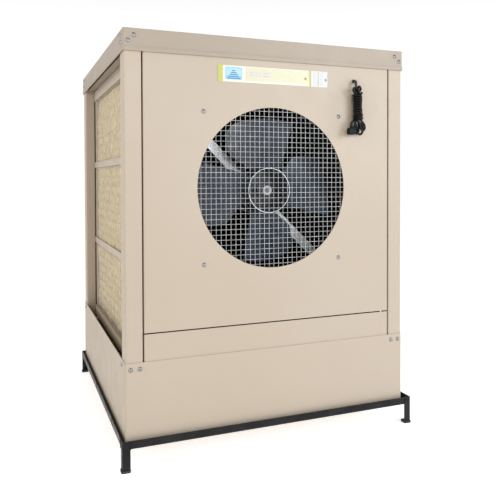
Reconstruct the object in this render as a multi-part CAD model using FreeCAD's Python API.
"""Evaporative cooler: a sheet-metal cabinet on an angle-iron stand, wet pads on three sides, an axial fan
behind a wire guard in front, and a water tank with a pump and a float valve below.

Frame: millimetres, +Z up, the fan side faces -Y, origin on the floor at the middle of the stand.
"""
import FreeCAD, Part
import math
import os
from FreeCAD import Vector

# Cabinet
SHEET = 1.5
CABINET_WIDTH = 752.0
CABINET_DEPTH = 779.0
CABINET_TOP = 1016.0
CABINET_SHIFT = -6.0          # the cabinet stands this far off the middle of its stand
POST_FRONT_FLANGE = 40.0
POST_SIDE_FLANGE = 50.0
POST_RETURN = 28.0
POST_REAR_RETURN = 45.0
POST_BOTTOM = 200.0
BEND_RADIUS = 3.0
SEAM = 3.0
CAP_OVERHANG = 2.5
CAP_SKIRT = 52.0
CAP_HEM = 9.0
TANK_BOTTOM = 55.0
TANK_RIM = 246.0
LOWER_PANEL_TOP = 309.5
LEDGE_HEIGHT = 970.0
LEDGE_INSET = 9.0

# Fan opening, guard and fan
OPENING_CENTRE_X = -3.0
OPENING_CENTRE_Z = 648.0
OPENING_RADIUS = 200.0
MESH_PITCH = 12.7
MESH_WIRE = 1.1
MESH_CELLS = 32
GUARD_BOLT_CELLS = 14.5       # a guard bolt sits in the middle of a mesh cell
FAN_X = -2.0
FAN_Z = 641.0
FAN_RADIUS = 187.0
BLADE_COUNT = 4
BLADE_PITCH = 21.0
BLADE_START = 1.5
BLADE_SETBACK = 73.0
BLADE_CAMBER_RADIUS = 500.0
BLADE_SHEET = 1.5
HUB_RADIUS = 57.5
HUB_RIM_SETBACK = 32.0
HUB_DEPTH = 52.0
BOSS_RADIUS = 12.0
SHAFT_RADIUS = 6.35
SHAFT_CLEARANCE = 0.05
MOTOR_RADIUS = 60.0
MOTOR_FRONT = -285.0
MOTOR_REAR = -190.0
MOTOR_BORE = 34.0
MOTOR_COVER = 12.0
CLAMP_MIDDLE = -236.0
CLAMP_BAR = 25.0

# Pads
PAD_SIDE_HALF_WIDTH = 337.0
PAD_REAR_HALF_WIDTH = 332.0
PAD_STILE = 32.0
PAD_REAR_STILE = 46.0
PAD_BOTTOM = 212.0
PAD_TOP = 966.0
PAD_DEPTH = 45.0
PAD_RAILS = ((212.0, 244.0), (459.0, 476.0), (709.0, 728.0), (934.0, 966.0))
RAIL_PROUD = 3.5
NET_PITCH = 25.4
NET_WIRE = 0.9

# Stand
STAND_WIDTH = 787.0
STAND_DEPTH = 806.0
ANGLE = 19.0
ANGLE_THICKNESS = 3.0
STAND_RAIL_BOTTOM = 52.0
FOOT_HEIGHT = 5.0
FOOT_LIP = 2.0
FOOT_SIZE = 22.0

# Water side
PUMP_X = -180.0
PUMP_Y = 190.0
HOSE_RADIUS = 8.0
PIPE_RADIUS = 8.0
PIPE_HEIGHT = 1000.3
FLOAT_Y = 210.0
FLOAT_Z = 194.0
THREAD_RADIUS = 10.48
NUT_THICKNESS = 5.0
FLOAT_ARM_DROP = 22.0
DRAIN_Y = 250.0
DRAIN_Z = 90.0
DRAIN_THREAD = 10.0

# Power cord
CORD_DIAMETER = 6.0
GLAND_NECK = 3.9
GLAND_COLLAR = 4.7
CORD_EXIT_X = 226.5
CORD_EXIT_Z = 927.0
STEM_END_X = 224.0
HANK_FRONT = 34.0
HANK_TOP = 905.0
HANK_ROUND = 2.5
HANK_OUTLINE = ((213, 904.7), (213, 894), (215, 884), (215.5, 828), (218, 791), (227, 784), (242, 784),
                (252, 798), (252, 814), (240.5, 832), (240.5, 890), (242, 901), (239, 916), (230, 916),
                (228, 904.7))
PLUG_X = 206.0
PLUG_Z = 784.0
PLUG_HALF = 9.5
PLUG_DEPTH = 14.0
PLUG_HEIGHT = 18.0
PLUG_PIN = 12.0

# Fasteners and label
SCREW_HEAD = 5.6
SCREW_RECESS = 2.6
RECESS_DEPTH = 1.6
SCREW_SHANK = 2.5
GUARD_BOLT_HEAD = 5.6
GUARD_BOLT_SHANK = 3.0
RIVET_HEAD = 3.2
RIVET_SHANK = 1.6
RIVET_PLACES = (85.0, 143.0)
LABEL_RIVET_Z = 925.0
LABEL_LEFT = -150.0
LABEL_RIGHT = 148.0
LABEL_BOTTOM = 906.5
LABEL_TOP = 946.5
LABEL_THICKNESS = 0.8

HALF_WIDTH = CABINET_WIDTH / 2
HALF_DEPTH = CABINET_DEPTH / 2
FRONT = -HALF_DEPTH
PANEL_BACK = FRONT + SHEET
TANK_HALF_WIDTH = HALF_WIDTH + SHEET
TANK_HALF_DEPTH = HALF_DEPTH + SHEET
TANK_FLOOR = TANK_BOTTOM + SHEET
PAD_FACE = HALF_WIDTH - POST_RETURN - 3.5
PAD_REAR_FACE = HALF_DEPTH - POST_RETURN - 3.5
PAD_TAB = 12.0
SEAT_GAP = 0.3
SEAT_WIDTH = 30.0
LEDGE_EDGE_X = HALF_WIDTH - LEDGE_INSET
LEDGE_EDGE_Y = HALF_DEPTH - LEDGE_INSET
LEDGE_INNER_X = HALF_WIDTH - POST_RETURN - 3.0
LEDGE_INNER_Y = HALF_DEPTH - POST_RETURN - 3.0
TROUGH_WIDTH = 42.0
TROUGH_BOTTOM = 966.0
TROUGH_TOP = 992.0
TROUGH_SIDE_LENGTH = 300.0
TROUGH_REAR_LENGTH = 295.0
TROUGH_MIDDLE_X = LEDGE_INNER_X - TROUGH_WIDTH / 2
TROUGH_MIDDLE_Y = LEDGE_INNER_Y - TROUGH_WIDTH / 2
DRIP_HOLES = 12
PIPE_START = 285.0
PIPE_BEND = 30.0
BRANCH_END = 304.0
PUMP_OUTLET_OFFSET = 46.0
PUMP_OUTLET_TOP = 125.0
GUARD_BACK = PANEL_BACK + 2 * MESH_WIRE
GUARD_BOLT_LENGTH = 16.0
CLAMP_THICKNESS = 4.0
CLAMP_BOLTS = (0, 3)
HUB_FRONT = FRONT + HUB_RIM_SETBACK
FLOAT_PIVOT_X = HALF_WIDTH - 40.0
FLOAT_STUB_END = TANK_HALF_WIDTH + 18.0
FLOAT_ARM_LENGTH = 190.0
FLOAT_BALL = 38.0
DRAIN_END = TANK_HALF_WIDTH + 14.0
TERMINAL_FRONT = PANEL_BACK + 3.2
PLUG_BACK = FRONT - PLUG_PIN - 4.5
AXIS_Z = Vector(0, 0, 1)
AXIS_X = Vector(1, 0, 0)
AXIS_Y = Vector(0, 1, 0)


def box(x0, x1, y0, y1, z0, z1):
    """A block between two corners, given in any order."""
    low = Vector(min(x0, x1), min(y0, y1), min(z0, z1))
    return Part.makeBox(abs(x1 - x0), abs(y1 - y0), abs(z1 - z0), low)


def rod(radius, start, end):
    """A cylinder between two points."""
    line = Vector(*end) - Vector(*start)
    return Part.makeCylinder(radius, line.Length, Vector(*start), line)


def tube(outer, inner, start, end):
    """A hollow cylinder between two points."""
    return rod(outer, start, end).cut(rod(inner, start, end))


def hexagon(across_flats, start, end):
    """A hexagonal prism between two points."""
    line = Vector(*end) - Vector(*start)
    radius = across_flats / math.sqrt(3)
    turns = [k * math.pi / 3 for k in range(7)]
    corners = [Vector(radius * math.cos(turn), radius * math.sin(turn), 0) for turn in turns]
    prism = Part.Face(Part.makePolygon(corners)).extrude(Vector(0, 0, line.Length))
    prism.Placement = FreeCAD.Placement(Vector(*start), FreeCAD.Rotation(AXIS_Z, line))
    return prism


def fuse(shapes):
    """One clean solid out of several that touch."""
    return shapes[0].multiFuse(shapes[1:]).removeSplitter()


def corner_arc(before, corner, after, radius):
    """The tangent arc of a radius at a corner, as its start, middle and end."""
    back = (before - corner).normalize()
    ahead = (after - corner).normalize()
    half_angle = back.getAngle(ahead) / 2
    reach = radius / math.tan(half_angle)
    bisector = (back + ahead).normalize()
    middle = corner + bisector * (radius / math.sin(half_angle) - radius)
    return corner + back * reach, middle, corner + ahead * reach


def rounded_path(points, radii):
    """Edges along straight runs joined by tangent arcs; radii holds one radius for each inner point."""
    edges = []
    start = points[0]
    for index, radius in enumerate(radii, start=1):
        first, middle, last = corner_arc(points[index - 1], points[index], points[index + 1], radius)
        edges.append(Part.LineSegment(start, first).toShape())
        edges.append(Part.Arc(first, middle, last).toShape())
        start = last
    edges.append(Part.LineSegment(start, points[-1]).toShape())
    return edges


def bent_sheet(path, thickness, radius, height_from, height_to):
    """Folded sheet: an outer path in the XY plane, with the thickness on its left, drawn up along Z."""
    outer = [Vector(x, y, height_from) for x, y in path]
    normals = []
    for here, there in zip(outer, outer[1:]):
        run = (there - here).normalize()
        normals.append(Vector(-run.y, run.x, 0))
    inner = [outer[0] + normals[0] * thickness]
    for corner, first, second in zip(outer[1:-1], normals, normals[1:]):
        inner.append(corner + (first + second) * (thickness / (1 + first.dot(second))))
    inner.append(outer[-1] + normals[-1] * thickness)
    bends = len(path) - 2
    edges = rounded_path(outer, [radius] * bends)
    edges.append(Part.LineSegment(outer[-1], inner[-1]).toShape())
    edges += rounded_path(inner[::-1], [radius - thickness] * bends)
    edges.append(Part.LineSegment(inner[0], outer[0]).toShape())
    face = Part.Face(Part.Wire(Part.__sortEdges__(edges)))
    return face.extrude(Vector(0, 0, height_to - height_from))


def upright_edges(shape):
    """The straight vertical edges of a shape."""
    return [edge for edge in shape.Edges if len(edge.Vertexes) == 2
            and abs(abs(edge.tangentAt(edge.FirstParameter).z) - 1) < 1e-6]


def swept_tube(points, radius, bore=0.0):
    """A round hose on straight runs joined by the largest tangent arcs that its runs allow."""
    radii = bend_radii(points)
    path = Part.Wire(rounded_path(points, radii))
    start = points[0]
    direction = (points[1] - start).normalize()

    def sweep(size):
        ring = Part.Wire(Part.makeCircle(size, start, direction))
        return path.makePipeShell([ring], True, True)

    solid = sweep(radius)
    if bore:
        solid = solid.cut(sweep(bore))
    return solid, path.Length, radii


def bend_radii(points):
    """At each inner point, 0.45 of the shorter run divided by the tangent of half the turn."""
    radii = []
    for before, corner, after in zip(points, points[1:], points[2:]):
        arriving = corner - before
        leaving = after - corner
        turn = arriving.getAngle(leaving)
        radii.append(0.45 * min(arriving.Length, leaving.Length) / math.tan(turn / 2))
    return radii


def corner_post(side_sign, depth_sign):
    """A folded corner post: two flanges outside, and a return on the free edge of each, deeper beside the rear pad."""
    depth = POST_REAR_RETURN if depth_sign > 0 else POST_RETURN
    path = [(-HALF_WIDTH + POST_RETURN, FRONT + POST_SIDE_FLANGE),
            (-HALF_WIDTH, FRONT + POST_SIDE_FLANGE),
            (-HALF_WIDTH, FRONT),
            (-HALF_WIDTH + POST_FRONT_FLANGE, FRONT),
            (-HALF_WIDTH + POST_FRONT_FLANGE, FRONT + depth)]
    post = bent_sheet(path, SHEET, BEND_RADIUS, POST_BOTTOM, CABINET_TOP - SHEET)
    if side_sign > 0:
        post = post.mirror(Vector(0, 0, 0), AXIS_X)
    if depth_sign > 0:
        post = post.mirror(Vector(0, 0, 0), AXIS_Y)
    return post


def front_sheet(height_from, height_to):
    """A panel between the front posts, with a flange folded back along each side."""
    reach = HALF_WIDTH - POST_FRONT_FLANGE - SEAM
    path = [(-reach, FRONT + POST_RETURN), (-reach, FRONT), (reach, FRONT), (reach, FRONT + POST_RETURN)]
    return bent_sheet(path, SHEET, BEND_RADIUS, height_from, height_to)


def front_panel():
    """The fan panel, with the round opening, the guard's bolt holes and the cord's hole."""
    panel = front_sheet(LOWER_PANEL_TOP + SEAM, CABINET_TOP - 2 * SHEET)
    holes = [rod(OPENING_RADIUS, (OPENING_CENTRE_X, FRONT - 5, OPENING_CENTRE_Z),
                 (OPENING_CENTRE_X, FRONT + 5, OPENING_CENTRE_Z))]
    holes += [rod(GUARD_BOLT_SHANK + 0.2, (x, FRONT - 5, z), (x, FRONT + 5, z)) for x, z in guard_bolt_places()]
    holes.append(rod(GLAND_NECK + 0.2, (CORD_EXIT_X, FRONT - 5, CORD_EXIT_Z),
                     (CORD_EXIT_X, FRONT + 5, CORD_EXIT_Z)))
    for x in RIVET_PLACES:
        holes.append(rod(RIVET_SHANK, (x, FRONT - 5, LABEL_RIVET_Z), (x, FRONT + 5, LABEL_RIVET_Z)))
    return panel.cut(Part.makeCompound(holes))


def pad_seats():
    """Small lugs inside the tank's walls that the pads' frames stand on."""
    seats = []
    low = PAD_BOTTOM - SEAT_GAP - 3.0
    high = PAD_BOTTOM - SEAT_GAP
    for along in (-295.0, 265.0):
        for sign in (-1, 1):
            seats.append(box(sign * (HALF_WIDTH + 0.5), sign * (PAD_FACE - 15), along, along + SEAT_WIDTH,
                             low, high))
        seats.append(box(along, along + SEAT_WIDTH, HALF_DEPTH + 0.5, PAD_REAR_FACE - 15, low, high))
    return seats


def water_tank():
    """The open tank, with lugs for the pads and holes in its right wall for the float valve and the drain."""
    body = box(-TANK_HALF_WIDTH, TANK_HALF_WIDTH, -TANK_HALF_DEPTH, TANK_HALF_DEPTH, TANK_BOTTOM, TANK_RIM)
    body = body.makeFillet(BEND_RADIUS + SHEET, upright_edges(body))
    inside = box(-HALF_WIDTH, HALF_WIDTH, -HALF_DEPTH, HALF_DEPTH, TANK_FLOOR, TANK_RIM + 5)
    inside = inside.makeFillet(BEND_RADIUS, upright_edges(inside))
    valve_hole = rod(THREAD_RADIUS + 0.1, (HALF_WIDTH - 5, FLOAT_Y, FLOAT_Z), (HALF_WIDTH + 5, FLOAT_Y, FLOAT_Z))
    drain_hole = rod(DRAIN_THREAD + 0.1, (HALF_WIDTH - 5, DRAIN_Y, DRAIN_Z), (HALF_WIDTH + 5, DRAIN_Y, DRAIN_Z))
    shell = body.cut(inside).cut(valve_hole).cut(drain_hole)
    return fuse([shell] + pad_seats())


def top_cap():
    """The lid: a flat top, a skirt, and a hem folded outward along the skirt's lower edge."""
    half_x = HALF_WIDTH + CAP_OVERHANG
    half_y = HALF_DEPTH + CAP_OVERHANG
    bottom = CABINET_TOP - CAP_SKIRT
    shell = box(-half_x, half_x, -half_y, half_y, bottom, CABINET_TOP)
    shell = shell.makeFillet(BEND_RADIUS, upright_edges(shell))
    hem = box(-half_x - SHEET, half_x + SHEET, -half_y - SHEET, half_y + SHEET, bottom, bottom + CAP_HEM)
    hem = hem.makeFillet(BEND_RADIUS + SHEET, upright_edges(hem))
    inside = box(-half_x + SHEET, half_x - SHEET, -half_y + SHEET, half_y - SHEET, bottom - 5, CABINET_TOP - SHEET)
    inside = inside.makeFillet(BEND_RADIUS - SHEET, upright_edges(inside))
    lid = fuse([shell, hem]).cut(inside)
    top_edges = [edge for edge in lid.Edges if abs(edge.BoundBox.ZMin - CABINET_TOP) < 1e-3]
    return lid.makeFillet(SHEET, top_edges)


def top_frame():
    """Three lengths of angle between the posts' heads: a ledge above the pads, and a flange up behind the cap."""
    top = LEDGE_HEIGHT + 30.0
    run_y = HALF_DEPTH - POST_SIDE_FLANGE
    run_x = HALF_WIDTH - POST_FRONT_FLANGE
    rails = []
    for sign in (-1, 1):
        edge = sign * LEDGE_EDGE_X
        ledge = box(edge, sign * LEDGE_INNER_X, -run_y, run_y, LEDGE_HEIGHT, LEDGE_HEIGHT + SHEET)
        rails.append(fuse([ledge, box(edge, edge - sign * SHEET, -run_y, run_y, LEDGE_HEIGHT, top)]))
    ledge = box(-run_x, run_x, LEDGE_INNER_Y, LEDGE_EDGE_Y, LEDGE_HEIGHT, LEDGE_HEIGHT + SHEET)
    rails.append(fuse([ledge, box(-run_x, run_x, LEDGE_EDGE_Y - SHEET, LEDGE_EDGE_Y, LEDGE_HEIGHT, top)]))
    return Part.makeCompound(rails)


def pad_frame(face, half_width, stile):
    """A pad's frame, drawn for the left side: a folded tray, a flat surround and four proud cross rails."""
    front = -face
    back = front + PAD_DEPTH
    tray = half_width - stile
    low = PAD_RAILS[0][1]
    high = PAD_RAILS[-1][0]
    surround = box(front, front + SHEET, -half_width, half_width, PAD_BOTTOM, PAD_TOP)
    surround = surround.cut(box(front - 1, front + SHEET + 1, -tray + SHEET, tray - SHEET,
                                low + SHEET, high - SHEET))
    walls = box(front, back, -tray, tray, low, high)
    walls = walls.cut(box(front - 1, back + 1, -tray + SHEET, tray - SHEET, low + SHEET, high - SHEET))
    parts = [surround, walls]
    proud = front - RAIL_PROUD
    for bottom, top in PAD_RAILS:
        parts.append(box(proud, proud + SHEET, -half_width, half_width, bottom, top))
        for sign in (-1, 1):
            parts.append(box(proud, front, sign * (half_width - PAD_TAB), sign * half_width, bottom, top))
    strap_step = 2 * tray / 4
    for index in (1, 2, 3):
        middle = -tray + index * strap_step
        parts.append(box(back - SHEET, back, middle - PAD_TAB / 2, middle + PAD_TAB / 2, low, high))
    return fuse(parts)


def pad_media(face, half_width, stile):
    """The wood-wool pad in its tray."""
    side = half_width - stile - SHEET - 0.3
    return box(-face + 0.3, -face + PAD_DEPTH - SHEET - 0.3, -side, side,
               PAD_RAILS[0][1] + SHEET + 0.3, PAD_RAILS[-1][0] - SHEET - 0.3)


def pad_net(face, half_width):
    """The wire net over the pad: upright wires against the frame, and level wires laid on them."""
    reach = half_width - PAD_TAB - 1.0
    low = PAD_BOTTOM + 4.0
    high = PAD_TOP - 4.0
    radius = NET_WIRE / 2
    wires = []
    count = int(2 * reach / NET_PITCH)
    for index in range(count + 1):
        y = (index - count / 2) * NET_PITCH
        wires.append(rod(radius, (-face - radius, y, low), (-face - radius, y, high)))
    middle = (low + high) / 2
    count = int((high - low) / NET_PITCH)
    for index in range(count + 1):
        z = middle + (index - count / 2) * NET_PITCH
        wires.append(rod(radius, (-face - 3 * radius, -reach, z), (-face - 3 * radius, reach, z)))
    return Part.makeCompound(wires)


def water_trough(inner_edge, half_length):
    """A drip channel, drawn for the left side, hung on the ledge's inner edge above the pad."""
    outer = -inner_edge
    inner = outer + TROUGH_WIDTH
    trough = box(outer, inner, -half_length, half_length, TROUGH_BOTTOM, TROUGH_TOP)
    hollow = box(outer + SHEET, inner - SHEET, -half_length + SHEET, half_length - SHEET,
                 TROUGH_BOTTOM + SHEET, TROUGH_TOP + 1)
    middle = (outer + inner) / 2
    pitch = 2 * half_length / DRIP_HOLES
    drips = [rod(2.5, (middle, (k + 0.5) * pitch - half_length, TROUGH_BOTTOM - 1),
                 (middle, (k + 0.5) * pitch - half_length, TROUGH_BOTTOM + SHEET + 1)) for k in range(DRIP_HOLES)]
    return trough.cut(hollow).cut(Part.makeCompound(drips))


def distribution_pipe():
    """A rigid U-shaped pipe over the three troughs, with drip holes, closed ends and one branch for the riser."""
    side = TROUGH_MIDDLE_X
    rear = TROUGH_MIDDLE_Y
    start = -PIPE_START
    points = [Vector(-side, start, PIPE_HEIGHT), Vector(-side, rear, PIPE_HEIGHT),
              Vector(side, rear, PIPE_HEIGHT), Vector(side, start, PIPE_HEIGHT)]
    path = Part.Wire(rounded_path(points, [PIPE_BEND, PIPE_BEND]))

    def sweep(radius):
        ring = Part.Wire(Part.makeCircle(radius, points[0], AXIS_Y))
        return path.makePipeShell([ring], True, True)

    outside = sweep(PIPE_RADIUS)
    inside = sweep(PIPE_RADIUS - 2.0)
    branch = rod(PIPE_RADIUS, (PUMP_X, rear, PIPE_HEIGHT), (PUMP_X, BRANCH_END, PIPE_HEIGHT))
    bore = rod(PIPE_RADIUS - 2.0, (PUMP_X, rear, PIPE_HEIGHT), (PUMP_X, BRANCH_END - 1, PIPE_HEIGHT))
    caps = [rod(PIPE_RADIUS, (sign * side, start, PIPE_HEIGHT), (sign * side, start - 2.0, PIPE_HEIGHT))
            for sign in (-1, 1)]
    pipe = fuse([outside, branch]).cut(inside).cut(bore)
    drips = [rod(1.5, (sign * side, start + 20 + k * 60, PIPE_HEIGHT - PIPE_RADIUS - 1),
                 (sign * side, start + 20 + k * 60, PIPE_HEIGHT)) for sign in (-1, 1) for k in range(9)]
    drips += [rod(1.5, (-240 + k * 60, rear, PIPE_HEIGHT - PIPE_RADIUS - 1), (-240 + k * 60, rear, PIPE_HEIGHT))
              for k in range(9)]
    return fuse([pipe.cut(Part.makeCompound(drips))] + caps)


def riser_hose():
    """The hose from the pump's outlet up to the branch of the distribution pipe."""
    x = PUMP_X
    y = PUMP_Y + PUMP_OUTLET_OFFSET
    points = [Vector(x, y, PUMP_OUTLET_TOP), Vector(x, y, 250), Vector(x + 6, y + 8, 480),
              Vector(x - 4, y + 4, 720), Vector(x, y + 2, 940), Vector(x, y + 26, PIPE_HEIGHT),
              Vector(x, BRANCH_END, PIPE_HEIGHT)]
    return swept_tube(points, HOSE_RADIUS, HOSE_RADIUS - 2.0)


def guard_mesh():
    """The welded wire guard: upright wires against the panel, and level wires behind them."""
    reach = MESH_CELLS * MESH_PITCH / 2 + MESH_WIRE
    radius = MESH_WIRE / 2
    first = PANEL_BACK + radius
    second = PANEL_BACK + 3 * radius
    wires = []
    for index in range(MESH_CELLS + 1):
        step = (index - MESH_CELLS / 2) * MESH_PITCH
        x = OPENING_CENTRE_X + step
        z = OPENING_CENTRE_Z + step
        wires.append(rod(radius, (x, first, OPENING_CENTRE_Z - reach), (x, first, OPENING_CENTRE_Z + reach)))
        wires.append(rod(radius, (OPENING_CENTRE_X - reach, second, z), (OPENING_CENTRE_X + reach, second, z)))
    return Part.makeCompound(wires)


def guard_bolt_places():
    """The four guard bolts, as (x, z), in the order upper left, upper right, lower left, lower right."""
    reach = GUARD_BOLT_CELLS * MESH_PITCH
    return [(OPENING_CENTRE_X + sx * reach, OPENING_CENTRE_Z + sz * reach) for sz in (1, -1) for sx in (-1, 1)]


def dome_screw(head, height, shank, length, place, direction, recess=0.0):
    """A screw with a low domed head; its head's flat side is at place, and its shank runs along direction."""
    ball = (head * head + height * height) / (2 * height)
    dome = Part.makeSphere(ball, Vector(0, 0, ball - height))
    dome = dome.common(Part.makeCylinder(head, height + 1, Vector(0, 0, -height - 1)))
    screw = fuse([dome, Part.makeCylinder(shank, length + 0.5, Vector(0, 0, -0.5))])
    if recess:
        half = recess / 4
        floor = -height + RECESS_DEPTH
        cross = fuse([box(-recess, recess, -half, half, -height - 1, floor),
                      box(-half, half, -recess, recess, -height - 1, floor)])
        screw = screw.cut(cross)
    screw.Placement = FreeCAD.Placement(Vector(*place), FreeCAD.Rotation(AXIS_Z, Vector(*direction)))
    return screw


def guard_bolts():
    """Bolts through the panel and the guard's cells."""
    return Part.makeCompound([dome_screw(GUARD_BOLT_HEAD, 3.2, GUARD_BOLT_SHANK, GUARD_BOLT_LENGTH,
                                         (x, FRONT, z), (0, 1, 0), SCREW_RECESS) for x, z in guard_bolt_places()])


def guard_nuts():
    """A nut on each guard bolt: on the clamp's feet where they lie, and on the guard elsewhere."""
    nuts = []
    for index, (x, z) in enumerate(guard_bolt_places()):
        seat = GUARD_BACK + (CLAMP_THICKNESS if index in CLAMP_BOLTS else 0.0)
        nut = hexagon(10.0, (x, seat, z), (x, seat + 5.0, z))
        nuts.append(nut.cut(rod(GUARD_BOLT_SHANK + 0.05, (x, seat - 1, z), (x, seat + 6, z))))
    return Part.makeCompound(nuts)


def around_fan(shape, degrees):
    """Turns a shape drawn along +X from the fan's axis to an angle, counter-clockwise from the front."""
    turned = shape.copy()
    turned.rotate(Vector(0, 0, 0), AXIS_Y, -degrees)
    turned.translate(Vector(FAN_X, 0, FAN_Z))
    return turned


def motor_clamp():
    """A band round the motor, with two arms bent forward to two of the guard's bolts."""
    half = CLAMP_THICKNESS / 2
    width = CLAMP_BAR / 2
    parts = []
    for index in CLAMP_BOLTS:
        x, z = guard_bolt_places()[index]
        reach = math.hypot(x - FAN_X, z - FAN_Z)
        end = reach + width
        arm = box(MOTOR_RADIUS + 1, end, CLAMP_MIDDLE - half, CLAMP_MIDDLE + half, -width, width)
        leg = box(end - CLAMP_THICKNESS, end, GUARD_BACK, CLAMP_MIDDLE + half, -width, width)
        foot = box(reach - width, end, GUARD_BACK, GUARD_BACK + CLAMP_THICKNESS, -width, width)
        foot = foot.cut(rod(GUARD_BOLT_SHANK + 0.2, (reach, GUARD_BACK - 1, 0), (reach, GUARD_BACK + 9, 0)))
        angle = math.degrees(math.atan2(z - FAN_Z, x - FAN_X))
        parts.append(around_fan(fuse([arm, leg, foot]), angle))
    band = tube(MOTOR_RADIUS + 2.2, MOTOR_RADIUS, (FAN_X, CLAMP_MIDDLE - width, FAN_Z),
                (FAN_X, CLAMP_MIDDLE + width, FAN_Z))
    return fuse([band] + parts)


def motor_body():
    """The motor's shell, and the stator pressed into it."""
    shell = tube(MOTOR_RADIUS, MOTOR_RADIUS - 3.0, (0, MOTOR_FRONT, 0), (0, MOTOR_REAR, 0))
    stator = tube(MOTOR_RADIUS - 3.0, MOTOR_BORE, (0, MOTOR_FRONT + 14, 0), (0, MOTOR_REAR - 14, 0))
    body = fuse([shell, stator])
    body.translate(Vector(FAN_X, 0, FAN_Z))
    return body


def motor_cover(seat, outward):
    """An end cover with a bearing boss; seat is the shell's end, and outward is +1 to the rear or -1."""
    face = seat + outward * MOTOR_COVER
    boss = face + outward * 3.0
    cover = rod(MOTOR_RADIUS - 3.1, (0, seat - outward * 4, 0), (0, seat, 0))
    cover = fuse([cover, rod(MOTOR_RADIUS, (0, seat, 0), (0, face, 0)), rod(16.0, (0, face, 0), (0, boss, 0))])
    cover = cover.cut(rod(MOTOR_BORE, (0, seat - outward * 5, 0), (0, face - outward * 5, 0)))
    cover = cover.cut(rod(SHAFT_RADIUS + SHAFT_CLEARANCE, (0, seat - outward * 6, 0), (0, boss + outward, 0)))
    rim = [edge for edge in cover.Edges
           if abs(edge.BoundBox.YLength) < 1e-6 and abs(edge.BoundBox.YMin - face) < 1e-6
           and edge.BoundBox.XLength > 2 * MOTOR_RADIUS - 1]
    cover = cover.makeFillet(5.0, rim)
    cover.translate(Vector(FAN_X, 0, FAN_Z))
    return cover


def motor_rotor():
    """The rotor on the fan's shaft."""
    return tube(MOTOR_BORE - 0.4, SHAFT_RADIUS, (FAN_X, MOTOR_FRONT + 16, FAN_Z), (FAN_X, MOTOR_REAR - 16, FAN_Z))


def fan_shaft():
    """The shaft from the rear cover to just past the hub's boss."""
    shaft = rod(SHAFT_RADIUS, (FAN_X, HUB_FRONT + 11, FAN_Z), (FAN_X, MOTOR_REAR + MOTOR_COVER + 5, FAN_Z))
    return shaft.makeChamfer(1.0, [edge for edge in shaft.Edges if edge.Closed])


def fan_hub():
    """The hub: an open cup with a rolled rim, and a boss on the shaft."""
    back = HUB_FRONT + HUB_DEPTH
    wall = tube(HUB_RADIUS, HUB_RADIUS - SHEET, (0, HUB_FRONT, 0), (0, back, 0))
    disc = rod(HUB_RADIUS, (0, back - 2.0, 0), (0, back, 0))
    boss = rod(BOSS_RADIUS, (0, HUB_FRONT + 13, 0), (0, back + 2, 0))
    rim = Part.makeTorus(HUB_RADIUS - SHEET / 2, 1.3, Vector(0, HUB_FRONT, 0), AXIS_Y)
    hub = fuse([wall, disc, boss, rim])
    hub = hub.cut(rod(SHAFT_RADIUS, (0, HUB_FRONT, 0), (0, back + 5, 0)))
    hub.translate(Vector(FAN_X, 0, FAN_Z))
    return hub


def fan_blade(index):
    """A pressed blade: a rounded wing outline, cambered, set at its pitch and trimmed to the hub and the tip."""
    outline = [Vector(50, 0, -46), Vector(188, 0, -86), Vector(205, 0, -30), Vector(205, 0, 34),
               Vector(158, 0, 93), Vector(98, 0, 90), Vector(54, 0, 32)]
    edges = rounded_path(outline, [16.0, 20.0, 20.0, 34.0, 26.0])
    edges.append(Part.LineSegment(outline[-1], outline[0]).toShape())
    wing = Part.Face(Part.Wire(edges)).extrude(Vector(0, 60, 0))
    wing.translate(Vector(0, -30, 0))
    radius = BLADE_CAMBER_RADIUS
    sheet = tube(radius + BLADE_SHEET, radius, (0, -radius, 0), (220, -radius, 0))
    blade = wing.common(sheet)
    blade.rotate(Vector(0, 0, 0), AXIS_X, -BLADE_PITCH)
    blade.translate(Vector(0, FRONT + BLADE_SETBACK, 0))
    blade = blade.common(rod(FAN_RADIUS, (0, FRONT, 0), (0, FRONT + 160, 0)))
    blade = blade.cut(rod(HUB_RADIUS + 0.02, (0, FRONT, 0), (0, FRONT + 160, 0)))
    return around_fan(blade.Solids[0], BLADE_START + index * 360.0 / BLADE_COUNT)


def pump_strainer():
    """The pump's foot: a slotted skirt on the tank floor, and a disc with the suction hole."""
    floor = TANK_FLOOR
    skirt = tube(42.0, 40.0, (0, 0, floor), (0, 0, floor + 20))
    disc = rod(42.0, (0, 0, floor + 20), (0, 0, floor + 23))
    foot = fuse([skirt, disc]).cut(rod(12.0, (0, 0, floor + 15), (0, 0, floor + 25)))
    slots = []
    for index in range(12):
        slot = box(38, 44, -3, 3, floor + 3, floor + 16)
        slot.rotate(Vector(0, 0, 0), AXIS_Z, index * 30)
        slots.append(slot)
    foot = foot.cut(Part.makeCompound(slots))
    foot.translate(Vector(PUMP_X, PUMP_Y, 0))
    return foot


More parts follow.
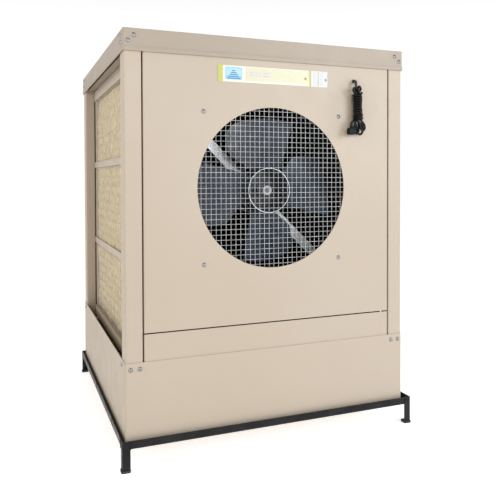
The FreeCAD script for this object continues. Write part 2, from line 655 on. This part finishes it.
def pump_housing():
    """The pump: a volute open below, a sealed motor can above it, and an upright outlet nozzle."""
    base = TANK_FLOOR + 23
    volute = rod(38.0, (0, 0, base), (0, 0, base + 20))
    can = rod(32.0, (0, 0, base + 20), (0, 0, base + 80))
    can = can.makeFillet(4.0, [edge for edge in can.Edges if edge.Closed and edge.BoundBox.ZMin > base + 79])
    neck = box(-9, 9, 30, PUMP_OUTLET_OFFSET, base + 2, base + 18)
    nozzle = rod(HOSE_RADIUS + 1, (0, PUMP_OUTLET_OFFSET, base + 2), (0, PUMP_OUTLET_OFFSET, PUMP_OUTLET_TOP))
    body = fuse([volute, can, neck, nozzle])
    body = body.cut(rod(32.0, (0, 0, base - 1), (0, 0, base + 13)))
    body = body.cut(rod(3.05, (0, 0, base + 10), (0, 0, base + 34)))
    body = body.cut(box(-5, 5, 20, PUMP_OUTLET_OFFSET, base + 4, base + 11))
    body = body.cut(rod(5.0, (0, PUMP_OUTLET_OFFSET, base + 6), (0, PUMP_OUTLET_OFFSET, PUMP_OUTLET_TOP + 1)))
    body.translate(Vector(PUMP_X, PUMP_Y, 0))
    return body


def pump_impeller():
    """The impeller: a disc with five vanes below it, on a short shaft."""
    base = TANK_FLOOR + 23
    parts = [rod(27.0, (0, 0, base + 8), (0, 0, base + 10)), rod(6.0, (0, 0, base + 2), (0, 0, base + 8)),
             rod(3.0, (0, 0, base + 9), (0, 0, base + 33))]
    for index in range(5):
        vane = box(5, 26, -0.8, 0.8, base + 3, base + 8)
        vane.rotate(Vector(0, 0, 0), AXIS_Z, index * 72)
        parts.append(vane)
    impeller = fuse(parts)
    impeller.translate(Vector(PUMP_X, PUMP_Y, 0))
    return impeller


def float_valve_body():
    """The valve through the tank's right wall: a flanged brass body inside, a threaded stub outside, a clevis."""
    wall = HALF_WIDTH
    stub = rod(THREAD_RADIUS, (wall - 2, FLOAT_Y, FLOAT_Z), (FLOAT_STUB_END, FLOAT_Y, FLOAT_Z))
    flange = rod(15.0, (wall - 4, FLOAT_Y, FLOAT_Z), (wall, FLOAT_Y, FLOAT_Z))
    barrel = rod(8.0, (FLOAT_PIVOT_X + 8, FLOAT_Y, FLOAT_Z), (wall - 3, FLOAT_Y, FLOAT_Z))
    parts = [stub, flange, barrel]
    for sign in (-1, 1):
        cheek = box(FLOAT_PIVOT_X - 6, FLOAT_PIVOT_X + 12, FLOAT_Y + sign * 3.5, FLOAT_Y + sign * 6.0,
                    FLOAT_Z - 6, FLOAT_Z + 6)
        parts.append(cheek)
    pin = rod(1.8, (FLOAT_PIVOT_X, FLOAT_Y - 6, FLOAT_Z), (FLOAT_PIVOT_X, FLOAT_Y + 6, FLOAT_Z))
    undercut_start = TANK_HALF_WIDTH + NUT_THICKNESS
    undercut = tube(THREAD_RADIUS + 1, THREAD_RADIUS - 1, (undercut_start, FLOAT_Y, FLOAT_Z),
                    (undercut_start + 2, FLOAT_Y, FLOAT_Z))
    body = fuse(parts + [pin]).cut(undercut)
    return body.cut(rod(6.5, (wall - 10, FLOAT_Y, FLOAT_Z), (FLOAT_STUB_END + 1, FLOAT_Y, FLOAT_Z)))


def float_valve_nut():
    """The nut that clamps the valve to the tank's wall."""
    outside = TANK_HALF_WIDTH
    nut = hexagon(30.0, (outside, FLOAT_Y, FLOAT_Z), (outside + NUT_THICKNESS, FLOAT_Y, FLOAT_Z))
    return nut.cut(rod(THREAD_RADIUS + 0.05, (outside - 1, FLOAT_Y, FLOAT_Z), (outside + 6, FLOAT_Y, FLOAT_Z)))


def float_arm():
    """The float's rod with the eye that turns on the valve's pin, at its lowest position in an empty tank."""
    eye = rod(5.0, (0, -2.5, 0), (0, 2.5, 0))
    arm = rod(2.0, (-3, 0, 0), (-FLOAT_ARM_LENGTH, 0, 0))
    arm = fuse([eye, arm]).cut(rod(1.85, (0, -4, 0), (0, 4, 0)))
    arm.rotate(Vector(0, 0, 0), AXIS_Y, -FLOAT_ARM_DROP)
    arm.translate(Vector(FLOAT_PIVOT_X, FLOAT_Y, FLOAT_Z))
    return arm


def float_ball():
    """The ball on the end of the float's rod."""
    ball = Part.makeSphere(FLOAT_BALL, Vector(-FLOAT_ARM_LENGTH - FLOAT_BALL + 8, 0, 0))
    collar = rod(5.0, (-FLOAT_ARM_LENGTH - 2, 0, 0), (-FLOAT_ARM_LENGTH + 12, 0, 0))
    ball = fuse([ball, collar]).cut(rod(2.0, (-FLOAT_ARM_LENGTH, 0, 0), (-FLOAT_ARM_LENGTH + 20, 0, 0)))
    ball.rotate(Vector(0, 0, 0), AXIS_Y, -FLOAT_ARM_DROP)
    ball.translate(Vector(FLOAT_PIVOT_X, FLOAT_Y, FLOAT_Z))
    return ball


def drain_outlet():
    """The drain: a flanged bush through the tank's right wall."""
    inside = HALF_WIDTH
    parts = [rod(16.0, (inside - 3, DRAIN_Y, DRAIN_Z), (inside, DRAIN_Y, DRAIN_Z)),
             rod(DRAIN_THREAD, (inside - 1, DRAIN_Y, DRAIN_Z), (DRAIN_END, DRAIN_Y, DRAIN_Z))]
    bush = fuse(parts)
    return bush.cut(rod(7.0, (inside - 5, DRAIN_Y, DRAIN_Z), (DRAIN_END + 1, DRAIN_Y, DRAIN_Z)))


def drain_cap():
    """The drain's cap, over the bush's outer end."""
    start = TANK_HALF_WIDTH + 2.0
    cap = rod(14.0, (start, DRAIN_Y, DRAIN_Z), (DRAIN_END + 3.0, DRAIN_Y, DRAIN_Z))
    cap = cap.cut(rod(DRAIN_THREAD + 0.1, (start - 1, DRAIN_Y, DRAIN_Z), (DRAIN_END + 0.3, DRAIN_Y, DRAIN_Z)))
    grooves = []
    for index in range(12):
        angle = math.radians(index * 30)
        y = DRAIN_Y + 14.6 * math.cos(angle)
        z = DRAIN_Z + 14.6 * math.sin(angle)
        grooves.append(rod(1.6, (start - 1, y, z), (DRAIN_END + 4, y, z)))
    return cap.cut(Part.makeCompound(grooves))


def cord_gland():
    """The grommet that the power cord leaves through: a neck in the panel and a collar on each side of it."""
    x, z = CORD_EXIT_X, CORD_EXIT_Z
    neck = rod(GLAND_NECK, (x, FRONT - 2, z), (x, PANEL_BACK + 2, z))
    outer = Part.makeCone(GLAND_COLLAR, GLAND_NECK + 0.3, 3.0, Vector(x, FRONT, z), Vector(0, -1, 0))
    collar = rod(GLAND_COLLAR, (x, PANEL_BACK, z), (x, PANEL_BACK + 3, z))
    gland = fuse([neck, outer, collar])
    return gland.cut(rod(CORD_DIAMETER / 2 + 0.05, (x, FRONT - 6, z), (x, PANEL_BACK + 6, z)))


def cord_stem():
    """The cord from the terminal box through the gland, and over into the top of its hank."""
    x, z = CORD_EXIT_X, CORD_EXIT_Z
    points = [Vector(x, PANEL_BACK + 8, z), Vector(x, FRONT - 9, z), Vector(STEM_END_X, FRONT - 17.5, z - 9),
              Vector(STEM_END_X, FRONT - 17.5, HANK_TOP)]
    return swept_tube(points, CORD_DIAMETER / 2)


def cord_hank():
    """The outer shape of the tied hank: a narrow bundle whose lower loops stand out."""
    corners = [Vector(x, FRONT - 0.5, z) for x, z in HANK_OUTLINE]
    start = (corners[0] + corners[-1]) * 0.5
    edges = rounded_path([start] + corners + [start], [HANK_ROUND] * len(corners))
    return Part.Face(Part.Wire(edges)).extrude(Vector(0, -HANK_FRONT, 0))


def cord_plug():
    """The right-angle plug at the hank's foot: its neck up to the cord, its two pins towards the panel."""
    body = box(-PLUG_HALF, PLUG_HALF, PLUG_BACK, PLUG_BACK - PLUG_DEPTH, 0, PLUG_HEIGHT)
    body = body.makeFillet(5.0, [edge for edge in body.Edges if edge.BoundBox.YLength > PLUG_DEPTH - 1])
    face = PLUG_BACK - PLUG_DEPTH
    body = body.makeFillet(2.5, [edge for edge in body.Edges if edge.BoundBox.YMax < face + 0.01])
    middle = PLUG_BACK - PLUG_DEPTH / 2
    neck = Part.makeCone(5.0, 3.8, 8.0, Vector(0, middle, PLUG_HEIGHT - 1), AXIS_Z)
    pins = [rod(1.6, (0, PLUG_BACK - 1, z), (0, PLUG_BACK + PLUG_PIN, z)) for z in (3.5, PLUG_HEIGHT - 3.5)]
    plug = fuse([body, neck] + pins)
    plug.translate(Vector(PLUG_X, 0, PLUG_Z))
    return plug


def terminal_box():
    """The box behind the panel where the power cord ends."""
    shell = box(CORD_EXIT_X - 30, CORD_EXIT_X + 30, TERMINAL_FRONT, TERMINAL_FRONT + 40, CORD_EXIT_Z - 25,
                CORD_EXIT_Z + 20)
    shell = shell.makeFillet(3.0, shell.Edges)
    inside = box(CORD_EXIT_X - 28, CORD_EXIT_X + 28, TERMINAL_FRONT + 2, TERMINAL_FRONT + 38, CORD_EXIT_Z - 23,
                 CORD_EXIT_Z + 18)
    hole = rod(CORD_DIAMETER / 2 + 0.1, (CORD_EXIT_X, TERMINAL_FRONT - 1, CORD_EXIT_Z),
               (CORD_EXIT_X, TERMINAL_FRONT + 5, CORD_EXIT_Z))
    return shell.cut(inside).cut(hole)


def nameplate():
    """The long label plate above the opening."""
    plate = box(LABEL_LEFT, LABEL_RIGHT, FRONT - LABEL_THICKNESS, FRONT, LABEL_BOTTOM, LABEL_TOP)
    holes = [rod(RIVET_SHANK + 0.05, (x, FRONT - 5, LABEL_RIVET_Z), (x, FRONT + 5, LABEL_RIVET_Z))
             for x in RIVET_PLACES]
    return plate.cut(Part.makeCompound(holes))


def nameplate_rivets():
    """Two small rivets through the label plate."""
    return Part.makeCompound([dome_screw(RIVET_HEAD, 1.6, RIVET_SHANK - 0.05, 4.5,
                                         (x, FRONT - LABEL_THICKNESS, LABEL_RIVET_Z), (0, 1, 0))
                              for x in RIVET_PLACES])


def cap_screw_places():
    """The lid's screws, two on each side of each corner, as a place and a direction inward."""
    places = []
    for sx in (-1, 1):
        for sy in (-1, 1):
            for along, height in ((353.5, 1000.0), (367.0, 987.0)):
                places.append(((sx * along, sy * (HALF_DEPTH + CAP_OVERHANG), height), (0, -sy, 0)))
            for along, height in ((355.0, 1004.0), (364.0, 986.0)):
                places.append(((sx * (HALF_WIDTH + CAP_OVERHANG), sy * along, height), (-sx, 0, 0)))
    return places


def tank_screw_places():
    """The tank's screws at each corner, two on the front or rear wall and one on the side wall."""
    places = []
    for sx in (-1, 1):
        for sy in (-1, 1):
            for along in (343.5, 365.0):
                places.append(((sx * along, sy * TANK_HALF_DEPTH, 231.0), (0, -sy, 0)))
            places.append(((sx * TANK_HALF_WIDTH, sy * 352.0, 234.0), (-sx, 0, 0)))
    return places


def cabinet_screws():
    """The domed screws that hold the lid and the tank to the posts."""
    return Part.makeCompound([dome_screw(SCREW_HEAD, 3.6, SCREW_SHANK, 9.0, place, direction, SCREW_RECESS)
                              for place, direction in cap_screw_places() + tank_screw_places()])


def screw_holes():
    """Clearance for every cabinet screw."""
    holes = []
    for place, direction in cap_screw_places() + tank_screw_places():
        axis = Vector(*direction)
        start = Vector(*place) - axis
        holes.append(Part.makeCylinder(SCREW_SHANK + 0.1, 12.0, start, axis))
    return Part.makeCompound(holes)


def stand_rail(length, across):
    """An angle rail along X, drawn for the front: one leg up in front of the tank, one leg under it."""
    path = [(0, ANGLE), (0, 0), (ANGLE, 0)]
    rail = bent_sheet(path, ANGLE_THICKNESS, ANGLE_THICKNESS + 0.5, 0, length)
    rail.Placement = FreeCAD.Placement(Vector(-length / 2, -across / 2, STAND_RAIL_BOTTOM),
                                       FreeCAD.Rotation(AXIS_Y, AXIS_Z, AXIS_X, "ZXY"))
    return rail


def stand_leg():
    """A leg of the same angle, drawn for the front left corner."""
    path = [(-STAND_WIDTH / 2, -STAND_DEPTH / 2 + ANGLE), (-STAND_WIDTH / 2, -STAND_DEPTH / 2),
            (-STAND_WIDTH / 2 + ANGLE, -STAND_DEPTH / 2)]
    return bent_sheet(path, ANGLE_THICKNESS, ANGLE_THICKNESS + 0.5, FOOT_HEIGHT, STAND_RAIL_BOTTOM + ANGLE)


def stand_foot():
    """A moulded shoe under a leg, drawn for the front left corner."""
    x = -STAND_WIDTH / 2 - FOOT_LIP
    y = -STAND_DEPTH / 2 - FOOT_LIP
    shoe = box(x, x + FOOT_SIZE, y, y + FOOT_SIZE, 0, FOOT_HEIGHT)
    return shoe.makeFillet(5.0, upright_edges(shoe))


def at_corners(shape):
    """A piece at all four corners, mirrored from the front left one."""
    sideways = shape.mirror(Vector(0, 0, 0), AXIS_X)
    return Part.makeCompound([shape, sideways, shape.mirror(Vector(0, 0, 0), AXIS_Y),
                              sideways.mirror(Vector(0, 0, 0), AXIS_Y)])


def turned(shape, degrees):
    """A copy of a shape turned about the cabinet's upright axis."""
    copy = shape.copy()
    copy.rotate(Vector(0, 0, 0), AXIS_Z, degrees)
    return copy


def stand_pieces():
    """The stand's rails, legs and feet."""
    pieces = {}
    crosswise = stand_rail(STAND_WIDTH - 2 * ANGLE, STAND_DEPTH)
    lengthwise = stand_rail(STAND_DEPTH - 2 * ANGLE, STAND_WIDTH)
    for side, rail, degrees in (("front", crosswise, 0), ("rear", crosswise, 180),
                                ("right", lengthwise, 90), ("left", lengthwise, -90)):
        pieces["stand_rail_" + side] = turned(rail, degrees)
    pieces["stand_legs"] = at_corners(stand_leg())
    pieces["stand_feet"] = at_corners(stand_foot())
    return pieces


def cabinet_pieces():
    """The tank, the posts, the panels, the lid and the label."""
    holes = screw_holes()
    pieces = {"water_tank": water_tank().cut(holes), "top_cap": top_cap().cut(holes)}
    for side, side_sign in (("left", -1), ("right", 1)):
        for end, depth_sign in (("front", -1), ("rear", 1)):
            pieces["post_" + end + "_" + side] = corner_post(side_sign, depth_sign).cut(holes)
    pieces["front_panel"] = front_panel()
    pieces["front_lower_panel"] = front_sheet(POST_BOTTOM, LOWER_PANEL_TOP)
    pieces["top_frame"] = top_frame()
    pieces["nameplate"] = nameplate()
    pieces["nameplate_rivets"] = nameplate_rivets()
    pieces["cabinet_screws"] = cabinet_screws()
    pieces["terminal_box"] = terminal_box()
    return pieces


def pad_pieces():
    """For each wet side: the pad's frame, its wood wool, its net and the trough above it."""
    pieces = {}
    sides = (("left", 0, PAD_FACE, PAD_SIDE_HALF_WIDTH, PAD_STILE, LEDGE_INNER_X, TROUGH_SIDE_LENGTH),
             ("right", 180, PAD_FACE, PAD_SIDE_HALF_WIDTH, PAD_STILE, LEDGE_INNER_X, TROUGH_SIDE_LENGTH),
             ("rear", -90, PAD_REAR_FACE, PAD_REAR_HALF_WIDTH, PAD_REAR_STILE, LEDGE_INNER_Y, TROUGH_REAR_LENGTH))
    for side, degrees, face, half_width, stile, ledge, length in sides:
        pieces["pad_frame_" + side] = turned(pad_frame(face, half_width, stile), degrees)
        pieces["pad_media_" + side] = turned(pad_media(face, half_width, stile), degrees)
        pieces["pad_net_" + side] = turned(pad_net(face, half_width), degrees)
        pieces["water_trough_" + side] = turned(water_trough(ledge, length), degrees)
    return pieces


def fan_pieces():
    """The guard, the motor on its clamp, and the fan."""
    pieces = {"guard_mesh": guard_mesh(), "guard_bolts": guard_bolts(), "guard_nuts": guard_nuts(),
              "motor_clamp": motor_clamp(), "motor_body": motor_body(), "motor_rotor": motor_rotor(),
              "motor_cover_front": motor_cover(MOTOR_FRONT, -1), "motor_cover_rear": motor_cover(MOTOR_REAR, 1),
              "fan_shaft": fan_shaft(), "fan_hub": fan_hub()}
    for index in range(BLADE_COUNT):
        pieces["fan_blade_" + str(index + 1)] = fan_blade(index)
    return pieces


def water_pieces():
    """The pump, its hose and pipe, the float valve and the drain."""
    hose, hose_length, hose_radii = riser_hose()
    print("riser hose: length", round(hose_length, 1), "radii", [round(r, 1) for r in hose_radii])
    return {"pump_strainer": pump_strainer(), "pump_housing": pump_housing(), "pump_impeller": pump_impeller(),
            "riser_hose": hose, "distribution_pipe": distribution_pipe(),
            "float_valve_body": float_valve_body(), "float_valve_nut": float_valve_nut(),
            "float_arm": float_arm(), "float_ball": float_ball(),
            "drain_outlet": drain_outlet(), "drain_cap": drain_cap()}


def cord_pieces():
    """The power cord's gland, its free stem, its hank and its plug."""
    stem, length, radii = cord_stem()
    expected = math.pi * (CORD_DIAMETER / 2) ** 2 * length
    print("cord stem: length", round(length, 1), "radii", [round(r, 1) for r in radii],
          "volume", round(stem.Volume), "expected", round(expected))
    return {"cord_gland": cord_gland(), "cord_stem": stem, "cord_hank": cord_hank(), "cord_plug": cord_plug()}


os.makedirs("parts", exist_ok=True)
for name, shape in stand_pieces().items():
    shape.exportStep("parts/" + name + ".step")
for group in (cabinet_pieces(), pad_pieces(), fan_pieces(), water_pieces(), cord_pieces()):
    for name, shape in group.items():
        shape.translate(Vector(CABINET_SHIFT, 0, 0))
        shape.exportStep("parts/" + name + ".step")
        if not shape.isValid() or not shape.Solids:
            print("not a valid solid:", name)
